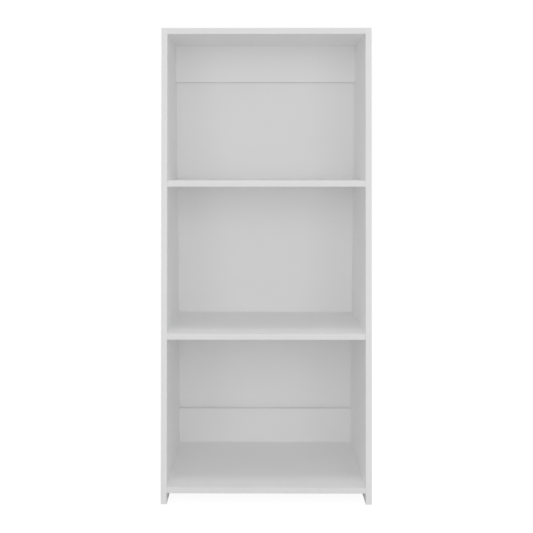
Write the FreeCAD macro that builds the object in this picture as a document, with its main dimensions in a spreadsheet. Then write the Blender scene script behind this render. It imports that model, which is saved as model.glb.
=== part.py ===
import FreeCAD, Part
import os
import Sketcher

# An open bookcase that is deeper at the foot than at the top. Two side panels with slanted front edges
# carry a top, two fixed shelves and a raised bottom shelf. Two rails brace the case at the rear, in front
# of a thin back panel that is nailed on from behind. Screws through the sides, hidden by caps, and wooden
# dowels hold the boards, and every visible board edge has a glued edging strip.
# Millimetres. X runs across, Y from front to rear, Z up from the floor under the middle of the case.

# Driving dimensions
SIZES = {
    "case_width": 530,
    "case_height": 1190,
    "base_depth": 400,
    "top_depth": 250,
    "board": 15,
    "foot_gap": 26,
    "shelf_setback": 2,
    "rail_board": 15,
    "rail_height": 100,
    "back_board": 3,
    "back_margin": 2,
    "edging": 1,
    "edging_rounding": 0.7,
    "fit_gap": 0.05,
    "hole_spare": 1,
    "overrun": 1,
    "screw_inset": 45,
    "screw_length": 50,
    "screw_head_radius": 5,
    "screw_head_height": 2.6,
    "screw_neck_radius": 3.5,
    "screw_neck_length": 12,
    "screw_core_radius": 2.5,
    "screw_tip_radius": 1.5,
    "screw_tip_length": 5,
    "socket_flats": 4,
    "socket_depth": 2.4,
    "cap_radius": 6.5,
    "cap_rise": 1.4,
    "cap_chamfer": 0.7,
    "cap_stub_length": 2,
    "dowel_radius": 4,
    "dowel_length": 30,
    "dowel_in_side": 10,
    "dowel_chamfer": 1,
    "rail_dowel_offset": 32,
    "nail_length": 20,
    "nail_shank_radius": 0.7,
    "nail_head_radius": 1.8,
    "nail_head_height": 0.8,
    "nail_point_length": 2,
    "nail_tip_radius": 0.2,
    "nail_inset": 15,
}
COMPARTMENTS = 3
SIDE_NAILS = 6
BOARD_NAILS = 2
ROUND_SIDES = 10

# Derived lengths, written as expressions on the driving dimensions
INNER_HALF = "(Sizes.case_width / 2 - Sizes.board)"
OUTER_HALF = "(Sizes.case_width / 2)"
REAR = "(Sizes.base_depth / 2 - Sizes.back_board)"
BASE_FRONT = "(-Sizes.base_depth / 2)"
SLOPE = "((Sizes.base_depth - Sizes.top_depth) / Sizes.case_height)"
EDGING_RUN = f"(Sizes.edging * sqrt(1 + {SLOPE} ^ 2))"
TOP_UNDERSIDE = "(Sizes.case_height - Sizes.board)"
BOARD_STEP = f"(({TOP_UNDERSIDE} - Sizes.foot_gap) / {COMPARTMENTS})"
UPPER_RAIL_LOW = f"({TOP_UNDERSIDE} - Sizes.rail_height)"
LOWER_RAIL_LOW = "(Sizes.foot_gap + Sizes.board)"
RAIL_FRONT = f"({REAR} - Sizes.rail_board)"
RAIL_MIDDLE = f"({REAR} - Sizes.rail_board / 2)"
BACK_LOW = "(Sizes.foot_gap + Sizes.back_margin)"
BACK_HIGH = "(Sizes.case_height - Sizes.back_margin)"
BACK_HALF = f"({OUTER_HALF} - Sizes.back_margin)"
SIDE_MIDDLE = f"({OUTER_HALF} - Sizes.board / 2)"


def front_at(height):
    """Y of the sides' slanted front edge at a height."""
    return f"({BASE_FRONT} + {SLOPE} * {height})"


# Name, height of the underside and set-back of the front edge of each level board
BOARDS = [
    ("bottom_shelf", "Sizes.foot_gap", "Sizes.shelf_setback"),
    ("lower_shelf", f"(Sizes.foot_gap + {BOARD_STEP})", "Sizes.shelf_setback"),
    ("upper_shelf", f"(Sizes.foot_gap + 2 * {BOARD_STEP})", "Sizes.shelf_setback"),
    ("top_panel", TOP_UNDERSIDE, "0"),
]
# Name and height of the lower edge of each rail
RAILS = [("lower", LOWER_RAIL_LOW), ("upper", UPPER_RAIL_LOW)]
# Name and direction along X of each side, and the turn in degrees that points a fastener inwards there
SIDES = [("left", -1, 0), ("right", 1, 180)]

doc = FreeCAD.newDocument("Bookcase")
sheet = doc.addObject("Spreadsheet::Sheet", "Sizes")
for row, (alias, size) in enumerate(SIZES.items(), start=1):
    sheet.set(f"B{row}", str(size))
    sheet.setAlias(f"B{row}", alias)
doc.recompute()

subparts = []


def value(expression):
    """Number that an expression on the sheet comes to."""
    result = sheet.evalExpression(expression)
    return float(getattr(result, "Value", result))


def new_body(label, is_subpart=False):
    body = doc.addObject("PartDesign::Body", label)
    body.Label = label
    if is_subpart:
        subparts.append(body)
    return body


def new_sketch(body, name, role, offset=None):
    """Sketch on one of the body's own origin planes, moved along its normal by an expression."""
    sketch = body.newObject("Sketcher::SketchObject", f"{body.Label}_{name}")
    plane = next(item for item in body.Origin.OriginFeatures if item.Role == role)
    sketch.AttachmentSupport = (plane, [""])
    sketch.MapMode = "FlatFace"
    if offset:
        sketch.setExpression("AttachmentOffset.Base.z", offset)
    return sketch


def bind(sketch, constraint, expression):
    index = sketch.addConstraint(constraint)
    sketch.setExpression(f"Constraints[{index}]", expression)


def pin_point(sketch, geometry, point, across, up):
    """Ties a point of the sketch to its two coordinates."""
    bind(sketch, Sketcher.Constraint("DistanceX", -1, 1, geometry, point, value(across)), across)
    bind(sketch, Sketcher.Constraint("DistanceY", -1, 1, geometry, point, value(up)), up)


def draw_outline(sketch, points):
    """Closed outline of straight lines through points given as pairs of expressions."""
    corners = [FreeCAD.Vector(value(across), value(up), 0) for across, up in points]
    count = len(corners)
    for index in range(count):
        sketch.addGeometry(Part.LineSegment(corners[index], corners[(index + 1) % count]))
    for index in range(count):
        sketch.addConstraint(Sketcher.Constraint("Coincident", index, 2, (index + 1) % count, 1))
    for index, (across, up) in enumerate(points):
        pin_point(sketch, index, 1, across, up)


def draw_round(sketch, radius):
    """Small round section about the sketch's origin, drawn with a count of equal flats."""
    points = []
    for index in range(ROUND_SIDES):
        angle = f"({index} + 0.5) * 360 / {ROUND_SIDES} * 1 deg"
        points.append((f"({radius}) * cos({angle})", f"({radius}) * sin({angle})"))
    draw_outline(sketch, points)


def pad(body, sketch, name, length, reverse=False, both_ways=False):
    feature = body.newObject("PartDesign::Pad", f"{body.Label}_{name}")
    feature.Profile = sketch
    feature.setExpression("Length", length)
    feature.Reversed = reverse
    if both_ways:
        feature.SideType = "Symmetric"
    return feature


def round_edges(body, base, name, radius, chosen):
    """Rounds the edges of the last feature that the test picks."""
    doc.recompute()
    edges = [f"Edge{index}" for index, edge in enumerate(base.Shape.Edges, start=1) if chosen(edge)]
    feature = body.newObject("PartDesign::Fillet", f"{body.Label}_{name}")
    feature.Base = (base, edges)
    feature.setExpression("Radius", radius)


def turned_piece(label, lengths):
    """Piece along +X, built up of round lengths: start, end, radius at the start and radius at the end."""
    body = new_body(label)
    for number, (start, end, first, last) in enumerate(lengths, start=1):
        near = new_sketch(body, f"near_{number}", "YZ_Plane", start)
        draw_round(near, first)
        if first == last:
            pad(body, near, f"straight_{number}", f"({end}) - ({start})")
            continue
        far = new_sketch(body, f"far_{number}", "YZ_Plane", end)
        draw_round(far, last)
        taper = body.newObject("PartDesign::AdditiveLoft", f"{label}_taper_{number}")
        taper.Profile = near
        taper.Sections = [far]
        taper.Ruled = True
    doc.recompute()
    return body


def copies(label, master, places):
    """Copies of a master piece, each at an X, Y and Z expression and a turn about Z."""
    links = []
    for index, (across, along, up, turn) in enumerate(places, start=1):
        link = doc.addObject("App::Link", f"{label}_{index}")
        link.LinkedObject = master
        link.Placement.Rotation = FreeCAD.Rotation(FreeCAD.Vector(0, 0, 1), turn)
        link.setExpression("Placement.Base.x", across)
        link.setExpression("Placement.Base.y", along)
        link.setExpression("Placement.Base.z", up)
        links.append(link)
    return links


def group(label, members):
    compound = doc.addObject("Part::Compound", label)
    compound.Label = label
    compound.Links = members
    return compound


def bored(slab, label):
    """Sub-part left of a slab by the bores that cross it."""
    doc.recompute()
    room = slab.Shape.BoundBox
    crossing = [bore for bore in bores if room.intersect(Part.getShape(bore).BoundBox)]
    cut = doc.addObject("Part::Cut", label)
    cut.Label = label
    cut.Base = slab
    cut.Tool = group(f"{label}_bores", crossing)
    subparts.append(cut)


def board_front(underside, setback):
    """Y of a level board's front, edging included, set back from the sides at its upper face."""
    return f"({front_at(f'({underside} + Sizes.board)')} + {setback})"


# Where the fasteners go: X, Y and Z of the outer end and a turn about Z
def screw_places():
    """Two screws in each end of a level board and one in each end of a rail, pointing inwards."""
    places = []
    for name, way, turn in SIDES:
        outside = f"{way} * {OUTER_HALF}"
        for board, underside, setback in BOARDS:
            middle = f"({underside} + Sizes.board / 2)"
            front = f"({board_front(underside, setback)} + Sizes.screw_inset)"
            places.append((outside, front, middle, turn))
            places.append((outside, f"({REAR} - Sizes.screw_inset)", middle, turn))
        for rail, low in RAILS:
            places.append((outside, RAIL_MIDDLE, f"({low} + Sizes.rail_height / 2)", turn))
    return places


def dowel_places():
    """One dowel in the middle of each end of a level board and two in each end of a rail."""
    places = []
    for name, way, turn in SIDES:
        seat = f"{way} * ({INNER_HALF} + Sizes.dowel_in_side)"
        for board, underside, setback in BOARDS:
            along = f"(({board_front(underside, setback)} + {REAR}) / 2)"
            places.append((seat, along, f"({underside} + Sizes.board / 2)", turn))
        for rail, low in RAILS:
            middle = f"({low} + Sizes.rail_height / 2)"
            places.append((seat, RAIL_MIDDLE, f"({middle} - Sizes.rail_dowel_offset)", turn))
            places.append((seat, RAIL_MIDDLE, f"({middle} + Sizes.rail_dowel_offset)", turn))
    return places


def nail_places():
    """Nails up both sides and along each level board, through the back panel, pointing forwards."""
    forwards = -90
    behind = "(Sizes.base_depth / 2)"
    first = f"({BACK_LOW} + Sizes.nail_inset)"
    last = f"({BACK_HIGH} - Sizes.nail_inset)"
    places = []
    for name, way, turn in SIDES:
        for index in range(SIDE_NAILS):
            height = f"({first} + {index} * ({last} - {first}) / {SIDE_NAILS - 1})"
            places.append((f"({way} * {SIDE_MIDDLE})", behind, height, forwards))
    for board, underside, setback in BOARDS:
        for index in range(BOARD_NAILS):
            across = f"(({index} + 1) * 2 * {INNER_HALF} / {BOARD_NAILS + 1} - {INNER_HALF})"
            places.append((across, behind, f"({underside} + Sizes.board / 2)", forwards))
    return places


def hexagon(flats):
    """Corners of a hexagon about the origin, from its width across flats."""
    half = f"({flats} / 2)"
    point = f"({flats} / sqrt(3))"
    short = f"({point} / 2)"
    return [
        (point, "0"),
        (short, half),
        (f"-{short}", half),
        (f"-{point}", "0"),
        (f"-{short}", f"-{half}"),
        (short, f"-{half}"),
    ]


def screw():
    """Furniture screw along +X from the face of its countersunk head, with a hexagon socket."""
    shank_end = "(Sizes.screw_length - Sizes.screw_tip_length)"
    body = turned_piece("one_screw", [
        ("0", "Sizes.screw_head_height", "Sizes.screw_head_radius", "Sizes.screw_neck_radius"),
        ("Sizes.screw_head_height", "Sizes.screw_neck_length",
         "Sizes.screw_neck_radius", "Sizes.screw_neck_radius"),
        ("Sizes.screw_neck_length", shank_end, "Sizes.screw_core_radius", "Sizes.screw_core_radius"),
        (shank_end, "Sizes.screw_length", "Sizes.screw_core_radius", "Sizes.screw_tip_radius"),
    ])
    outline = new_sketch(body, "socket_outline", "YZ_Plane")
    draw_outline(outline, hexagon("Sizes.socket_flats"))
    socket = body.newObject("PartDesign::Pocket", "one_screw_socket")
    socket.Profile = outline
    socket.setExpression("Length", "Sizes.socket_depth")
    socket.Reversed = True
    return body


def screw_bore():
    """Stepped bore for a screw: countersink and neck through the side, then a pilot in the board's end."""
    head = "(Sizes.screw_head_radius + Sizes.fit_gap)"
    neck = "(Sizes.screw_neck_radius + Sizes.fit_gap)"
    pilot = "(Sizes.screw_core_radius + Sizes.fit_gap)"
    return turned_piece("screw_bore", [
        ("-Sizes.overrun", "0", head, head),
        ("0", "Sizes.screw_head_height", head, neck),
        ("Sizes.screw_head_height", "Sizes.board", neck, neck),
        ("Sizes.board", "(Sizes.screw_length + Sizes.hole_spare)", pilot, pilot),
    ])


def cap():
    """Low round cap against the outside of a side, with a hexagon stub along +X for the screw's socket."""
    rim = "-(Sizes.cap_rise - Sizes.cap_chamfer)"
    crown = "(Sizes.cap_radius - Sizes.cap_chamfer)"
    body = turned_piece("one_cap", [
        ("-Sizes.cap_rise", rim, crown, "Sizes.cap_radius"),
        (rim, "0", "Sizes.cap_radius", "Sizes.cap_radius"),
    ])
    outline = new_sketch(body, "stub_outline", "YZ_Plane")
    draw_outline(outline, hexagon("(Sizes.socket_flats - 2 * Sizes.fit_gap)"))
    pad(body, outline, "stub", "Sizes.cap_stub_length")
    return body


def dowel():
    """Dowel along +X from its end in the side, chamfered at both ends."""
    narrow = "(Sizes.dowel_radius - Sizes.dowel_chamfer)"
    far_chamfer = "(Sizes.dowel_length - Sizes.dowel_chamfer)"
    return turned_piece("one_dowel", [
        ("0", "Sizes.dowel_chamfer", narrow, "Sizes.dowel_radius"),
        ("Sizes.dowel_chamfer", far_chamfer, "Sizes.dowel_radius", "Sizes.dowel_radius"),
        (far_chamfer, "Sizes.dowel_length", "Sizes.dowel_radius", narrow),
    ])


def dowel_bore():
    """Bore for a dowel, with spare depth past both of its ends."""
    radius = "(Sizes.dowel_radius + Sizes.fit_gap)"
    return turned_piece("dowel_bore", [
        ("-Sizes.hole_spare", "(Sizes.dowel_length + Sizes.hole_spare)", radius, radius),
    ])


def nail():
    """Flat-headed nail along +X from the face of its head."""
    point = "(Sizes.nail_length - Sizes.nail_point_length)"
    return turned_piece("one_nail", [
        ("0", "Sizes.nail_head_height", "Sizes.nail_head_radius", "Sizes.nail_head_radius"),
        ("Sizes.nail_head_height", point, "Sizes.nail_shank_radius", "Sizes.nail_shank_radius"),
        (point, "Sizes.nail_length", "Sizes.nail_shank_radius", "Sizes.nail_tip_radius"),
    ])


def nail_bore():
    """Bore for a nail, with a seat that lets its head lie flush."""
    seat = "(Sizes.nail_head_radius + Sizes.fit_gap)"
    shank = "(Sizes.nail_shank_radius + Sizes.fit_gap)"
    return turned_piece("nail_bore", [
        ("-Sizes.overrun", "Sizes.nail_head_height", seat, seat),
        ("Sizes.nail_head_height", "(Sizes.nail_length + Sizes.hole_spare)", shank, shank),
    ])


def side_panel(name, way):
    """Board cut to the slanted outline, less its edging."""
    slab = new_body(f"{name}_side_slab")
    slab.setExpression("Placement.Base.x", f"{way} * {SIDE_MIDDLE}")
    high = "(Sizes.case_height - Sizes.edging)"
    outline = new_sketch(slab, "outline", "YZ_Plane")
    draw_outline(outline, [
        (f"({front_at('0')} + {EDGING_RUN})", "0"),
        (REAR, "0"),
        (REAR, high),
        (f"({front_at(high)} + {EDGING_RUN})", high),
    ])
    pad(slab, outline, "sheet", "Sizes.board", both_ways=True)
    bored(slab, f"{name}_side_panel")


def side_front_edging(name, way):
    """Strip down the slanted front edge, with its two long front edges rounded."""
    body = new_body(f"{name}_side_front_edging", is_subpart=True)
    body.setExpression("Placement.Base.x", f"{way} * {SIDE_MIDDLE}")
    top = "Sizes.case_height"
    outline = new_sketch(body, "outline", "YZ_Plane")
    draw_outline(outline, [
        (front_at("0"), "0"),
        (f"({front_at('0')} + {EDGING_RUN})", "0"),
        (f"({front_at(top)} + {EDGING_RUN})", top),
        (front_at(top), top),
    ])
    strip = pad(body, outline, "strip", "Sizes.board", both_ways=True)
    middle = value(f"({front_at('0')} + {front_at(top)} + {EDGING_RUN}) / 2")

    def long_front(edge):
        return edge.BoundBox.ZLength > value(top) / 2 and edge.CenterOfMass.y < middle

    round_edges(body, strip, "rounding", "Sizes.edging_rounding", long_front)


def side_top_edging(name, way):
    """Strip along the level upper edge, behind the front strip, with its two long upper edges rounded."""
    body = new_body(f"{name}_side_top_edging", is_subpart=True)
    body.setExpression("Placement.Base.x", f"{way} * {SIDE_MIDDLE}")
    low = "(Sizes.case_height - Sizes.edging)"
    high = "Sizes.case_height"
    outline = new_sketch(body, "outline", "YZ_Plane")
    draw_outline(outline, [
        (f"({front_at(low)} + {EDGING_RUN})", low),
        (REAR, low),
        (REAR, high),
        (f"({front_at(high)} + {EDGING_RUN})", high),
    ])
    strip = pad(body, outline, "strip", "Sizes.board", both_ways=True)
    middle = value(f"({low} + {high}) / 2")

    def long_upper(edge):
        return edge.BoundBox.YLength > value("Sizes.top_depth") / 2 and edge.CenterOfMass.z > middle

    round_edges(body, strip, "rounding", "Sizes.edging_rounding", long_upper)


def level_board(name, underside, setback):
    """Board between the sides, less its front edging."""
    slab = new_body(f"{name}_slab")
    slab.setExpression("Placement.Base.z", underside)
    front = f"({board_front(underside, setback)} + Sizes.edging)"
    outline = new_sketch(slab, "outline", "XY_Plane")
    draw_outline(outline, [
        (f"-{INNER_HALF}", front),
        (INNER_HALF, front),
        (INNER_HALF, REAR),
        (f"-{INNER_HALF}", REAR),
    ])
    pad(slab, outline, "sheet", "Sizes.board")
    bored(slab, name)


def board_front_edging(name, underside, setback):
    """Strip along a level board's front edge, with its two long front edges rounded."""
    body = new_body(f"{name}_front_edging", is_subpart=True)
    body.setExpression("Placement.Base.z", underside)
    front = board_front(underside, setback)
    behind = f"({front} + Sizes.edging)"
    outline = new_sketch(body, "outline", "YZ_Plane")
    draw_outline(outline, [
        (front, "0"),
        (behind, "0"),
        (behind, "Sizes.board"),
        (front, "Sizes.board"),
    ])
    strip = pad(body, outline, "strip", f"2 * {INNER_HALF}", both_ways=True)
    middle = value(f"{front} + Sizes.edging / 2")

    def long_front(edge):
        return edge.BoundBox.XLength > value(INNER_HALF) and edge.CenterOfMass.y < middle

    round_edges(body, strip, "rounding", "Sizes.edging_rounding", long_front)


def back_rail(name, low, edged_above):
    """Board on edge between the sides, less the edging on its free long edge."""
    slab = new_body(f"{name}_rail_slab")
    slab.setExpression("Placement.Base.z", low)
    bottom = "0" if edged_above else "Sizes.edging"
    top = "(Sizes.rail_height - Sizes.edging)" if edged_above else "Sizes.rail_height"
    outline = new_sketch(slab, "outline", "YZ_Plane")
    draw_outline(outline, [(RAIL_FRONT, bottom), (REAR, bottom), (REAR, top), (RAIL_FRONT, top)])
    pad(slab, outline, "sheet", f"2 * {INNER_HALF}", both_ways=True)
    bored(slab, f"{name}_back_rail")


def rail_edging(name, low, edged_above):
    """Strip on a rail's free long edge, with its front long edge rounded."""
    body = new_body(f"{name}_rail_{'upper' if edged_above else 'lower'}_edging", is_subpart=True)
    body.setExpression("Placement.Base.z", low)
    bottom = "(Sizes.rail_height - Sizes.edging)" if edged_above else "0"
    top = "Sizes.rail_height" if edged_above else "Sizes.edging"
    outline = new_sketch(body, "outline", "YZ_Plane")
    draw_outline(outline, [(RAIL_FRONT, bottom), (REAR, bottom), (REAR, top), (RAIL_FRONT, top)])
    strip = pad(body, outline, "strip", f"2 * {INNER_HALF}", both_ways=True)
    free = value(top if edged_above else bottom)
    reach = value("Sizes.edging") / 2

    def front_free(edge):
        centre = edge.CenterOfMass
        lengthwise = edge.BoundBox.XLength > value(INNER_HALF)
        return lengthwise and centre.y < value(RAIL_MIDDLE) and abs(centre.z - free) < reach

    round_edges(body, strip, "rounding", "Sizes.edging_rounding", front_free)


def back_panel():
    """Thin sheet over the rear edges of the boards."""
    slab = new_body("back_slab")
    outline = new_sketch(slab, "outline", "XZ_Plane", f"-{REAR}")
    draw_outline(outline, [
        (f"-{BACK_HALF}", BACK_LOW),
        (BACK_HALF, BACK_LOW),
        (BACK_HALF, BACK_HIGH),
        (f"-{BACK_HALF}", BACK_HIGH),
    ])
    pad(slab, outline, "sheet", "Sizes.back_board", reverse=True)
    bored(slab, "back_panel")


# Fasteners, and the bores that they lie in
subparts.append(group("confirmat_screws", copies("screw", screw(), screw_places())))
subparts.append(group("screw_cover_caps", copies("cap", cap(), screw_places())))
subparts.append(group("wood_dowels", copies("dowel", dowel(), dowel_places())))
subparts.append(group("back_panel_nails", copies("nail", nail(), nail_places())))
bores = copies("screw_bore_copy", screw_bore(), screw_places())
bores += copies("dowel_bore_copy", dowel_bore(), dowel_places())
bores += copies("nail_bore_copy", nail_bore(), nail_places())
doc.recompute()

# Boards and their edging
for side, way, turn in SIDES:
    side_panel(side, way)
    side_front_edging(side, way)
    side_top_edging(side, way)
for board, underside, setback in BOARDS:
    level_board(board, underside, setback)
    board_front_edging(board, underside, setback)
for rail, low in RAILS:
    back_rail(rail, low, edged_above=rail == "lower")
    rail_edging(rail, low, edged_above=rail == "lower")
back_panel()
doc.recompute()

# Every object is sound before anything is written
for item in doc.Objects:
    if "Invalid" in item.State or "Error" in item.State:
        raise RuntimeError(f"{item.Label} failed: {item.State}")
for item in subparts:
    if item.Shape.isNull() or not item.Shape.isValid():
        raise RuntimeError(f"{item.Label} has no valid shape")

os.makedirs("parts", exist_ok=True)
for item in subparts:
    item.Shape.exportStep(f"parts/{item.Label}.step")
    print(item.Label, len(item.Shape.Solids), round(item.Shape.Volume))
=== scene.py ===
"""Open white bookcase with slanted sides, in melamine board.

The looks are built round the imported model, in metres.
"""

import math

import bmesh
import bpy
from mathutils import Matrix, Vector


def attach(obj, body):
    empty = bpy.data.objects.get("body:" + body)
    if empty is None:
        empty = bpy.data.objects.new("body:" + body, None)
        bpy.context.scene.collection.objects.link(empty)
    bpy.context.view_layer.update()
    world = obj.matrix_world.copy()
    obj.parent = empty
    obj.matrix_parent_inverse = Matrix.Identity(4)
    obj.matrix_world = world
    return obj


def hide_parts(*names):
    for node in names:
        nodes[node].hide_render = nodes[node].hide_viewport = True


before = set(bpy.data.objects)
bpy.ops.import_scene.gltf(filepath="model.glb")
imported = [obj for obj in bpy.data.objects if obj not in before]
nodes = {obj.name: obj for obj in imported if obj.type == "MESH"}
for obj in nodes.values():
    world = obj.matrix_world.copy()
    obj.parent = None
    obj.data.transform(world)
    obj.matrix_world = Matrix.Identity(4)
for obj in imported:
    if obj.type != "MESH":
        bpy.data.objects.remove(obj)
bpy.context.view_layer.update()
MM = 0.001

# The photograph's frame and camera, worked out from the edges of the boards
IMAGE_SIDE = 533
FOCAL_PIXELS = 900.53
CENTRE_PIXEL_X = 252.33
CAMERA_PLACE = (-21.68 * MM, -2375.99 * MM, 853.81 * MM)
CAMERA_PITCH = 6.6179
CAMERA_YAW = -0.3445
SENSOR_WIDTH = 36.0

# Light: an even white dome, with softboxes in front and overhead, over a pale floor
DOME_STRENGTH = 0.627
# Name, place, point that it faces, width, height and power of each softbox
SOFTBOXES = [
    ("low key", (0, -2.4, 0.85), (0, 0, 0.7), 0.6, 0.6, 2.6),
    ("high key", (0, -2.6, 1.6), (0, 0, 0.7), 1.0, 0.8, 4.5),
    ("left", (-1.2, -3.0, 1.0), (0, 0, 0.6), 0.8, 1.6, 4.4),
    ("right", (1.2, -3.0, 1.0), (0, 0, 0.6), 0.8, 1.6, 4.4),
    ("overhead", (0, -0.3, 3.0), (0, -0.3, 0), 0.8, 0.4, 6.9),
]
# Enough bounces for the light to fill a deep white bay
DIFFUSE_BOUNCES = 10
# The floor's own colour, and what is seen of it: a darker one with a glow, which add up to white
FLOOR_COLOUR = 0.74
FLOOR_SEEN_COLOUR = 0.15
FLOOR_SEEN_GLOW = 0.92
FLOOR_SIDE = 60.0

# White skins: a cloud and a fine pebble in their tone, an uneven sheen and little shine
CLOUD_GRAIN, CLOUD_SHARE, PEBBLE_SHARE = 220 * MM, 0.7, 0.3
SHEEN_GRAIN, SHEEN_SPREAD = 60 * MM, 0.03
WHITE_SPECULAR = 0.15

# Raw particleboard: flat chips, with dust over some of them
CHIP_GRAIN, CHIP_SQUEEZE, CHIP_RELIEF = 2.6 * MM, 0.35, 0.25 * MM
DUST_GRAIN, DUST_SHARE, DUST_ROUGHNESS = 0.9 * MM, 0.6, (0.75, 0.95)
DARK_CHIP, PALE_CHIP = (0.30, 0.19, 0.10, 1.0), (0.62, 0.46, 0.29, 1.0)
CHIP_DUST = (0.22, 0.14, 0.08, 1.0)

# Raw hardboard: stained brown, with paler pressed fibre and the print of a wire screen
STAIN_GRAIN = 120 * MM
DARK_BROWN, MID_BROWN = (0.222, 0.131, 0.067, 1.0), (0.25, 0.15, 0.08, 1.0)
FIBRE_GRAIN, FIBRE_SHARE, FIBRE_ROUGHNESS, FIBRE_RELIEF = 3.5 * MM, 0.55, (0.7, 0.9), 0.2 * MM
PALE_FIBRE = (0.36, 0.24, 0.14, 1.0)
SCREEN_PITCH, SCREEN_DISTORTION, SCREEN_SHARE = 2.0 * MM, 0.6, 0.4

# Steel: fine drawing marks, and how far they make it smoother and rougher
MARK_GRAIN, MARK_RELIEF = 0.5 * MM, 0.02 * MM
MARK_SMOOTHER, MARK_ROUGHER = 0.06, 0.1

# Beech: long grain, and short flecks that fade out at that reach from their middles
BEECH_GRAIN, BEECH_SQUEEZE = 0.8 * MM, (0.06, 1.0, 1.0)
BEECH_ROUGHNESS, BEECH_RELIEF = (0.6, 0.75), 0.05 * MM
DARK_BEECH, PALE_BEECH = (0.50, 0.33, 0.19, 1.0), (0.64, 0.46, 0.29, 1.0)
FLECK_GRAIN, FLECK_SQUEEZE = 0.9 * MM, (0.25, 1.0, 1.0)
FLECK_SHARE, FLECK_REACH = 0.35, 0.25
BEECH_FLECK = (0.36, 0.21, 0.11, 1.0)

# Shader nodes

# The range that most of a noise lies in
NOISE_RANGE = (0.3, 0.7)
# How far apart Blender's waves are at a scale of 1
WAVE_UNIT = math.pi / 10


def fill_socket(tree, socket, value):
    """Links a socket to another one, or sets its value."""
    if isinstance(value, bpy.types.NodeSocket):
        tree.links.new(value, socket)
    else:
        socket.default_value = value


def add_node(tree, kind, inputs=None, **settings):
    """A new node with these settings. Of its inputs, a socket is linked and a value is set."""
    node = tree.nodes.new(kind)
    for name, value in settings.items():
        setattr(node, name, value)
    for name, value in (inputs or {}).items():
        fill_socket(tree, node.inputs[name], value)
    return node


def place(tree, squeeze=(1, 1, 1)):
    """The object's coordinates in metres, times a squeeze, which draws the pattern out along that axis."""
    coordinates = add_node(tree, "ShaderNodeTexCoord")
    inputs = {"Vector": coordinates.outputs["Object"], "Scale": squeeze}
    return add_node(tree, "ShaderNodeMapping", inputs).outputs["Vector"]


def noise(tree, grain, detail=2.0, squeeze=(1, 1, 1), roughness=0.5):
    """Noise whose grain is that many metres across."""
    inputs = {
        "Vector": place(tree, squeeze),
        "Scale": 1 / grain,
        "Detail": detail,
        "Roughness": roughness,
    }
    return add_node(tree, "ShaderNodeTexNoise", inputs).outputs["Fac"]


def cells(tree, grain, output="Distance", squeeze=(1, 1, 1)):
    """Cells that are that many metres across."""
    inputs = {"Vector": place(tree, squeeze), "Scale": 1 / grain}
    return add_node(tree, "ShaderNodeTexVoronoi", inputs).outputs[output]


def waves(tree, pitch, distortion, direction):
    """Waves along an axis, that many metres apart."""
    inputs = {"Vector": place(tree), "Scale": WAVE_UNIT / pitch, "Distortion": distortion}
    return add_node(tree, "ShaderNodeTexWave", inputs, bands_direction=direction).outputs["Fac"]


def spread(tree, factor, low, high, source=NOISE_RANGE):
    """A factor, mostly within source, spread over low to high."""
    inputs = {
        "Value": factor,
        "From Min": source[0],
        "From Max": source[1],
        "To Min": low,
        "To Max": high,
    }
    return add_node(tree, "ShaderNodeMapRange", inputs).outputs["Result"]


def blend_colours(tree, factor, first, second):
    """Two colours, or sockets of colour, blended by a factor."""
    node = add_node(tree, "ShaderNodeMix", data_type="RGBA")
    colour_sockets = [socket for socket in node.inputs if socket.type == "RGBA"]
    for socket, value in zip([node.inputs[0], *colour_sockets], (factor, first, second)):
        fill_socket(tree, socket, value)
    return next(socket for socket in node.outputs if socket.type == "RGBA")


def total(tree, first, second, operation="ADD"):
    """The sum, or another operation, of two values."""
    node = add_node(tree, "ShaderNodeMath", operation=operation)
    for socket, value in zip(node.inputs, (first, second)):
        fill_socket(tree, socket, value)
    return node.outputs["Value"]


def grey(value, warmth=0.0):
    """A grey as a colour, a little less blue where it is warm."""
    return (value, value, value * (1 - warmth), 1.0)


def new_material(name):
    """An empty material and its tree of nodes."""
    made = bpy.data.materials.new(name)
    made.use_nodes = True
    made.node_tree.nodes.clear()
    return made, made.node_tree


def finish_material(tree, colour, roughness, height, depth, **values):
    """Ends a tree in a Principled shader with these sockets and a bump that is depth metres deep."""
    bump = add_node(tree, "ShaderNodeBump", {"Height": height, "Distance": depth})
    shader = add_node(
        tree,
        "ShaderNodeBsdfPrincipled",
        {"Base Color": colour, "Roughness": roughness, "Normal": bump.outputs["Normal"]},
    )
    for socket, value in values.items():
        shader.inputs[socket.replace("_", " ")].default_value = value
    add_node(tree, "ShaderNodeOutputMaterial", {"Surface": shader.outputs["BSDF"]})


# Materials


def white_surface(name, tones, rough, pebble, depth, warmth=0.0):
    """A matt white skin: a faint cloud in its tone, a fine pebble and a little unevenness in its sheen."""
    made, tree = new_material(name)
    low, high = [grey(tone, warmth) for tone in tones]
    cloud = noise(tree, CLOUD_GRAIN, detail=3.0)
    fine = noise(tree, pebble)
    tone = total(
        tree,
        total(tree, cloud, CLOUD_SHARE, "MULTIPLY"),
        total(tree, fine, PEBBLE_SHARE, "MULTIPLY"),
    )
    colour = blend_colours(tree, spread(tree, tone, 0.0, 1.0), low, high)
    uneven = noise(tree, SHEEN_GRAIN, detail=4.0)
    sheen = spread(tree, uneven, rough - SHEEN_SPREAD, rough + SHEEN_SPREAD)
    finish_material(tree, colour, sheen, fine, depth, Specular_IOR_Level=WHITE_SPECULAR)
    return made


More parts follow.
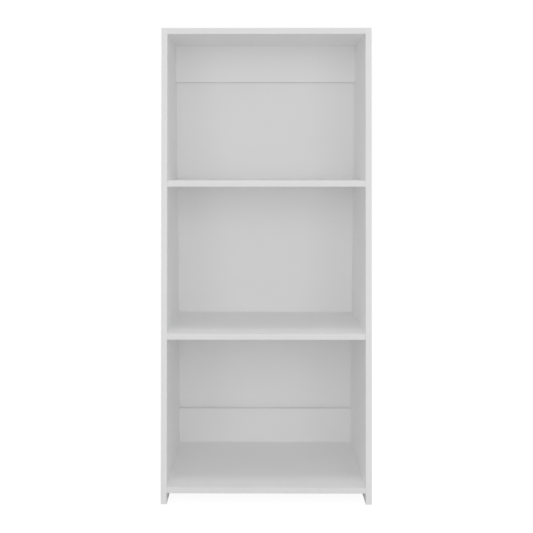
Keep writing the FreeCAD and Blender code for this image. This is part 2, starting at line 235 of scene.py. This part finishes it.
def particleboard(name, squeeze):
    """A sawn edge of particleboard: flat chips, pale and dark, with dust over some of them."""
    made, tree = new_material(name)
    chip = cells(tree, CHIP_GRAIN, output="Color", squeeze=squeeze)
    chip_grey = add_node(tree, "ShaderNodeSeparateColor", {"Color": chip}).outputs["Red"]
    dust = noise(tree, DUST_GRAIN, detail=4.0)
    chips = blend_colours(tree, chip_grey, DARK_CHIP, PALE_CHIP)
    colour = blend_colours(tree, spread(tree, dust, 0.0, DUST_SHARE), chips, CHIP_DUST)
    rough = spread(tree, dust, *DUST_ROUGHNESS)
    finish_material(tree, colour, rough, total(tree, chip_grey, dust), CHIP_RELIEF)
    return made


def raw_hardboard(name):
    """The rear of hardboard: brown pressed fibre with the print of a wire screen."""
    made, tree = new_material(name)
    fibre = noise(tree, FIBRE_GRAIN, detail=6.0, roughness=0.7)
    stain = noise(tree, STAIN_GRAIN, detail=3.0)
    across = waves(tree, SCREEN_PITCH, SCREEN_DISTORTION, "X")
    upright = waves(tree, SCREEN_PITCH, SCREEN_DISTORTION, "Z")
    screen = total(tree, across, upright)
    brown = blend_colours(tree, spread(tree, stain, 0.0, 1.0), DARK_BROWN, MID_BROWN)
    colour = blend_colours(tree, spread(tree, fibre, 0.0, FIBRE_SHARE), brown, PALE_FIBRE)
    height = total(tree, total(tree, screen, SCREEN_SHARE, "MULTIPLY"), fibre)
    finish_material(tree, colour, spread(tree, fibre, *FIBRE_ROUGHNESS), height, FIBRE_RELIEF)
    return made


def plated_steel(name, low, high, rough):
    """Bright plated steel with fine drawing marks."""
    made, tree = new_material(name)
    marks = noise(tree, MARK_GRAIN, detail=3.0)
    colour = blend_colours(tree, spread(tree, marks, 0.0, 1.0), low, high)
    sheen = spread(tree, marks, rough - MARK_SMOOTHER, rough + MARK_ROUGHER)
    finish_material(tree, colour, sheen, marks, MARK_RELIEF, Metallic=1.0)
    return made


def raw_beech(name):
    """Raw beech with its grain along X and short dark flecks."""
    made, tree = new_material(name)
    grain = noise(tree, BEECH_GRAIN, detail=5.0, squeeze=BEECH_SQUEEZE)
    fleck = cells(tree, FLECK_GRAIN, squeeze=FLECK_SQUEEZE)
    wood = blend_colours(tree, spread(tree, grain, 0.0, 1.0), DARK_BEECH, PALE_BEECH)
    flecked = spread(tree, fleck, FLECK_SHARE, 0.0, source=(0.0, FLECK_REACH))
    colour = blend_colours(tree, flecked, wood, BEECH_FLECK)
    finish_material(tree, colour, spread(tree, grain, *BEECH_ROUGHNESS), grain, BEECH_RELIEF)
    return made


MELAMINE = white_surface(
    "white_melamine", tones=(0.866, 0.882), rough=0.58, pebble=1.1 * MM, depth=0.02 * MM
)
EDGING = white_surface(
    "white_edging", tones=(0.874, 0.89), rough=0.55, pebble=2.0 * MM, depth=0.012 * MM
)
# The rails' edging strips are set about a tenth darker than the other whites: painted shade, standing in for
# the dark line of shadow along each rail's edge
RAIL_EDGING_PAINTED_SHADE = white_surface(
    "rail_edging_painted_shade", tones=(0.79, 0.806), rough=0.55, pebble=2.0 * MM, depth=0.012 * MM
)
LACQUER = white_surface(
    "white_lacquered_hardboard", tones=(0.866, 0.882), rough=0.6, pebble=1.8 * MM, depth=0.02 * MM
)
CAP_PLASTIC = white_surface(
    "white_cap_plastic", tones=(0.865, 0.885), rough=0.42, pebble=0.7 * MM, depth=0.01 * MM, warmth=0.01
)
# The chips lie flat between the faces of each board
RAW_SIDE = particleboard("raw_side_edge", squeeze=(1.0, CHIP_SQUEEZE, CHIP_SQUEEZE))
RAW_RAIL = particleboard("raw_rail_edge", squeeze=(CHIP_SQUEEZE, 1.0, CHIP_SQUEEZE))
RAW_BOARD = particleboard("raw_board_edge", squeeze=(CHIP_SQUEEZE, CHIP_SQUEEZE, 1.0))
RAW_BACK = raw_hardboard("raw_hardboard")
ZINC = plated_steel(
    "zinc_plated_steel", low=(0.55, 0.56, 0.57, 1.0), high=(0.68, 0.68, 0.67, 1.0), rough=0.3
)
BRIGHT_STEEL = plated_steel(
    "bright_steel", low=(0.45, 0.45, 0.45, 1.0), high=(0.58, 0.58, 0.57, 1.0), rough=0.34
)
BEECH = raw_beech("raw_beech")

REAR, UP, DOWN = (0, 1, 0), (0, 0, 1), (0, 0, -1)
LEFT, RIGHT = (-1, 0, 0), (1, 0, 0)
# The cosine above which a face looks to a side
FACING = 0.99


def dress(node, material, raw=None, raw_sides=()):
    """Gives a CAD node its material, and the faces that look to raw_sides a raw one."""
    mesh = nodes[node].data
    mesh.materials.clear()
    mesh.materials.append(material)
    if raw is not None:
        mesh.materials.append(raw)
    for face in mesh.polygons:
        is_raw = any(face.normal.dot(Vector(side)) > FACING for side in raw_sides)
        face.material_index = int(is_raw)


for side in ("left", "right"):
    dress(f"{side}_side_panel", MELAMINE, RAW_SIDE, [REAR, DOWN])
    dress(f"{side}_side_front_edging", EDGING)
    dress(f"{side}_side_top_edging", EDGING)
for board in ("top_panel", "upper_shelf", "lower_shelf", "bottom_shelf"):
    dress(board, MELAMINE, RAW_BOARD, [REAR, LEFT, RIGHT])
    dress(f"{board}_front_edging", EDGING)
for rail in ("upper_back_rail", "lower_back_rail"):
    dress(rail, MELAMINE, RAW_RAIL, [LEFT, RIGHT])
# The rails' edging strips take the darker white: painted shade for the shadow line along the rails
dress("upper_rail_lower_edging", RAIL_EDGING_PAINTED_SHADE)
dress("lower_rail_upper_edging", RAIL_EDGING_PAINTED_SHADE)
dress("back_panel", LACQUER, RAW_BACK, [REAR, LEFT, RIGHT, UP, DOWN])

# Fasteners, with the threads, flutes and rounded heads that the solids leave out

# How near two corners are one, and the angle from which an edge stays sharp
MERGE = 0.01 * MM
SHARP = math.radians(35)
CAP_RADIUS, CAP_RISE, CAP_SEGMENTS = 6.5 * MM, 1.4 * MM, 48
STUB_RADIUS, STUB_LENGTH = 1.85 * MM, 2.0 * MM
# Shares of the cap's radius and rise along its crown, and the least radius at its middle
CAP_CROWN_SHARES = [
    (0.0, 1.0),
    (0.22, 1.0),
    (0.45, 0.97),
    (0.62, 0.92),
    (0.76, 0.83),
    (0.88, 0.66),
    (0.95, 0.44),
    (0.99, 0.22),
]
CAP_MIDDLE = 0.1 * MM
SCREW_SEGMENTS, SCREW_RINGS_PER_TURN = 24, 8
SOCKET_FLATS, SOCKET_DEPTH = 4.0 * MM, 2.4 * MM
HEAD_RADIUS, HEAD_LENGTH = 5.0 * MM, 2.6 * MM
NECK_RADIUS, NECK_END = 3.45 * MM, 12.0 * MM
CORE_RADIUS, THREAD_RADIUS, THREAD_PITCH = 2.45 * MM, 3.5 * MM, 3.0 * MM
# The share of the pitch that the thread's ridge takes
RIDGE_SHARE = 0.5
TIP_RADIUS, TIP_LENGTH = 1.5 * MM, 5.0 * MM
FLUTES, FLUTE_DEPTH, DOWEL_CHAMFER = 18, 0.3 * MM, 1.0 * MM
NAIL_SEGMENTS, NAIL_HEAD, NAIL_HEAD_LENGTH = 20, 1.8 * MM, 0.8 * MM
NAIL_SHANK, NAIL_POINT, NAIL_TIP = 0.7 * MM, 2.0 * MM, 0.15 * MM
# The dish in a nail's head, and the shares of the head's radius at its foot and rim
NAIL_DISH, DISH_FOOT_SHARE, DISH_RIM_SHARE = 0.12 * MM, 0.4, 0.8


def solids_of(node):
    """The lowest and highest corner of each solid of a CAD node, in order along X, Y and Z."""
    mesh = nodes[node].data
    keys = [tuple(round(value / MERGE) for value in vertex.co) for vertex in mesh.vertices]
    parent = {key: key for key in keys}

    def first_of(key):
        while parent[key] != key:
            key = parent[key]
        return key

    for face in mesh.polygons:
        corner, *others = [keys[index] for index in face.vertices]
        for other in others:
            parent[first_of(other)] = first_of(corner)
    points = {}
    for key, vertex in zip(keys, mesh.vertices):
        points.setdefault(first_of(key), []).append(vertex.co)
    found = [(Vector(map(min, *group)), Vector(map(max, *group))) for group in points.values()]
    return sorted(found, key=lambda box: tuple(round(value / MERGE) for value in box[0]))


def inward(box, through_back):
    """From a fastener's own axis, X inwards from its outer end, to its place in the back or a side."""
    low, high = box
    middle = (low + high) / 2
    if through_back:
        turn = Matrix.Rotation(-math.pi / 2, 4, "Z")
        return Matrix.Translation((middle.x, high.y, middle.z)) @ turn
    if middle.x > 0:
        turn = Matrix.Rotation(math.pi, 4, "Z")
        return Matrix.Translation((high.x, middle.y, middle.z)) @ turn
    return Matrix.Translation((low.x, middle.y, middle.z))


def add_turned(form, rings, to_place):
    """Adds a closed turned form to a bmesh, from rings of a place along X and the radii round it."""
    loops = []
    for along, radii in rings:
        step = 2 * math.pi / len(radii)
        loop = []
        for index, radius in enumerate(radii):
            angle = index * step
            point = Vector((along, radius * math.cos(angle), radius * math.sin(angle)))
            loop.append(form.verts.new(to_place @ point))
        loops.append(loop)
    for near, far in zip(loops, loops[1:]):
        for index in range(len(near)):
            form.faces.new((near[index - 1], near[index], far[index], far[index - 1]))
    form.faces.new(loops[0])
    form.faces.new(loops[-1][::-1])


def add_fasteners(name, node, material, rings_of, through_back=False):
    """One piece that stands for a node of fasteners, each turned from its own rings."""
    form = bmesh.new()
    for box in solids_of(node):
        add_turned(form, rings_of(box), inward(box, through_back))
    bmesh.ops.recalc_face_normals(form, faces=form.faces)
    for face in form.faces:
        face.smooth = True
    for edge in form.edges:
        edge.smooth = edge.calc_face_angle() < SHARP
    mesh = bpy.data.meshes.new(name)
    form.to_mesh(mesh)
    form.free()
    mesh.materials.append(material)
    piece = bpy.data.objects.new(name, mesh)
    bpy.context.scene.collection.objects.link(piece)
    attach(piece, "root")
    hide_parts(node)


def round_rings(outline, segments):
    """Round rings from places along the axis and the radius at each."""
    return [(along, [radius] * segments) for along, radius in outline]


def cap_rings(box):
    """A cap with a low crown, a rounded rim and a stub that presses into the screw's socket."""
    crown = []
    for radius_share, rise_share in CAP_CROWN_SHARES:
        crown.append((CAP_RISE * (1 - rise_share), max(radius_share * CAP_RADIUS, CAP_MIDDLE)))
    rim = [(CAP_RISE, CAP_RADIUS)]
    stub = [(CAP_RISE, STUB_RADIUS), (CAP_RISE + STUB_LENGTH, STUB_RADIUS)]
    return round_rings(crown + rim + stub, CAP_SEGMENTS)


def screw_rings(box):
    """A screw with a hexagon socket, a countersunk head, a plain neck, a coarse thread and a tapered tip."""
    length = box[1].x - box[0].x
    step = 2 * math.pi / SCREW_SEGMENTS
    flat = math.pi / 3
    socket = [
        SOCKET_FLATS / 2 / math.cos((index * step) % flat - flat / 2) for index in range(SCREW_SEGMENTS)
    ]
    head = [(0.0, HEAD_RADIUS), (HEAD_LENGTH, NECK_RADIUS), (NECK_END, NECK_RADIUS)]
    thread = []
    thread_length = length - TIP_LENGTH - NECK_END
    count = round(thread_length / THREAD_PITCH * SCREW_RINGS_PER_TURN)
    for ring in range(count + 1):
        along = NECK_END + thread_length * ring / count
        radii = []
        for index in range(SCREW_SEGMENTS):
            phase = (along / THREAD_PITCH - index / SCREW_SEGMENTS) % 1
            height = max(0.0, 1 - 2 / RIDGE_SHARE * abs(phase - 0.5))
            radii.append(CORE_RADIUS + (THREAD_RADIUS - CORE_RADIUS) * height)
        thread.append((along, radii))
    tip = [(length - TIP_LENGTH, CORE_RADIUS), (length, TIP_RADIUS)]
    return [
        (SOCKET_DEPTH, socket),
        (0.0, socket),
        *round_rings(head, SCREW_SEGMENTS),
        *thread,
        *round_rings(tip, SCREW_SEGMENTS),
    ]


def dowel_rings(box):
    """A dowel with flutes for the glue and chamfered ends."""
    length, radius = box[1].x - box[0].x, (box[1].z - box[0].z) / 2
    fluted = [radius - FLUTE_DEPTH * (index % 2) for index in range(2 * FLUTES)]
    end = [radius - DOWEL_CHAMFER] * (2 * FLUTES)
    return [(0.0, end), (DOWEL_CHAMFER, fluted), (length - DOWEL_CHAMFER, fluted), (length, end)]


def nail_rings(box):
    """A nail with a flat, slightly dished round head and a tapered point."""
    length = box[1].y - box[0].y
    outline = [
        (NAIL_DISH, NAIL_HEAD * DISH_FOOT_SHARE),
        (0.0, NAIL_HEAD * DISH_RIM_SHARE),
        (NAIL_DISH, NAIL_HEAD),
        (NAIL_HEAD_LENGTH / 2, NAIL_HEAD),
        (NAIL_HEAD_LENGTH, NAIL_SHANK),
        (length - NAIL_POINT, NAIL_SHANK),
        (length, NAIL_TIP),
    ]
    return round_rings(outline, NAIL_SEGMENTS)


add_fasteners("cover_caps", "screw_cover_caps", CAP_PLASTIC, cap_rings)
add_fasteners("threaded_screws", "confirmat_screws", ZINC, screw_rings)
add_fasteners("fluted_dowels", "wood_dowels", BEECH, dowel_rings)
add_fasteners(
    "flat_head_nails", "back_panel_nails", BRIGHT_STEEL, nail_rings, through_back=True
)

# Floor, light and camera


def seen_directly(tree):
    """1 for a ray from the camera, also by way of a mirror or glass, and 0 for light on a surface."""
    path = add_node(tree, "ShaderNodeLightPath")
    mirror = total(tree, path.outputs["Is Camera Ray"], path.outputs["Is Glossy Ray"], "MAXIMUM")
    return total(tree, mirror, path.outputs["Is Transmission Ray"], "MAXIMUM")


def make_floor():
    """A pale floor that looks white where nothing shades it."""
    half = FLOOR_SIDE / 2
    corners = [(-half, -half, 0), (half, -half, 0), (half, half, 0), (-half, half, 0)]
    mesh = bpy.data.meshes.new("floor")
    mesh.from_pydata(corners, [], [(0, 1, 2, 3)])
    floor = bpy.data.objects.new("floor", mesh)
    bpy.context.scene.collection.objects.link(floor)
    made, tree = new_material("pale_floor")
    seen = seen_directly(tree)
    colour = blend_colours(tree, seen, grey(FLOOR_COLOUR), grey(FLOOR_SEEN_COLOUR))
    matt = add_node(tree, "ShaderNodeBsdfDiffuse", {"Color": colour})
    strength = total(tree, seen, FLOOR_SEEN_GLOW, "MULTIPLY")
    glow = add_node(tree, "ShaderNodeEmission", {"Strength": strength})
    both = add_node(tree, "ShaderNodeAddShader")
    for socket, shader in zip(both.inputs, (matt.outputs["BSDF"], glow.outputs["Emission"])):
        tree.links.new(shader, socket)
    add_node(tree, "ShaderNodeOutputMaterial", {"Surface": both.outputs["Shader"]})
    mesh.materials.append(made)


def make_dome():
    """A white dome. What looks straight at it sees plain white."""
    world = bpy.data.worlds.new("dome")
    world.use_nodes = True
    tree = world.node_tree
    tree.nodes.clear()
    level = add_node(tree, "ShaderNodeMix", {"Factor": seen_directly(tree), "A": DOME_STRENGTH, "B": 1.0})
    sky = add_node(tree, "ShaderNodeBackground", {"Color": grey(1.0), "Strength": level.outputs["Result"]})
    add_node(tree, "ShaderNodeOutputWorld", {"Surface": sky.outputs["Background"]})
    bpy.context.scene.world = world
    bpy.context.scene.cycles.diffuse_bounces = DIFFUSE_BOUNCES


def make_softbox(name, at, facing, width, height, power):
    """A rectangular lamp that shines towards a point."""
    data = bpy.data.lights.new(name, "AREA")
    data.shape = "RECTANGLE"
    data.size, data.size_y = width, height
    data.energy = power
    lamp = bpy.data.objects.new(name, data)
    lamp.location = at
    lamp.rotation_euler = (Vector(facing) - Vector(at)).to_track_quat("-Z", "Y").to_euler()
    lamp.visible_camera = False
    bpy.context.scene.collection.objects.link(lamp)


def make_camera():
    """The photograph's camera."""
    data = bpy.data.cameras.new("camera")
    data.sensor_fit = "HORIZONTAL"
    data.sensor_width = SENSOR_WIDTH
    data.lens = FOCAL_PIXELS / IMAGE_SIDE * SENSOR_WIDTH
    data.shift_x = 0.5 - CENTRE_PIXEL_X / IMAGE_SIDE
    camera = bpy.data.objects.new("camera", data)
    camera.location = CAMERA_PLACE
    camera.rotation_euler = (math.radians(90 - CAMERA_PITCH), 0, math.radians(-CAMERA_YAW))
    bpy.context.scene.collection.objects.link(camera)
    bpy.context.scene.camera = camera


make_floor()
make_dome()
for softbox in SOFTBOXES:
    make_softbox(*softbox)
make_camera()
bpy.context.scene.view_settings.view_transform = "Standard"
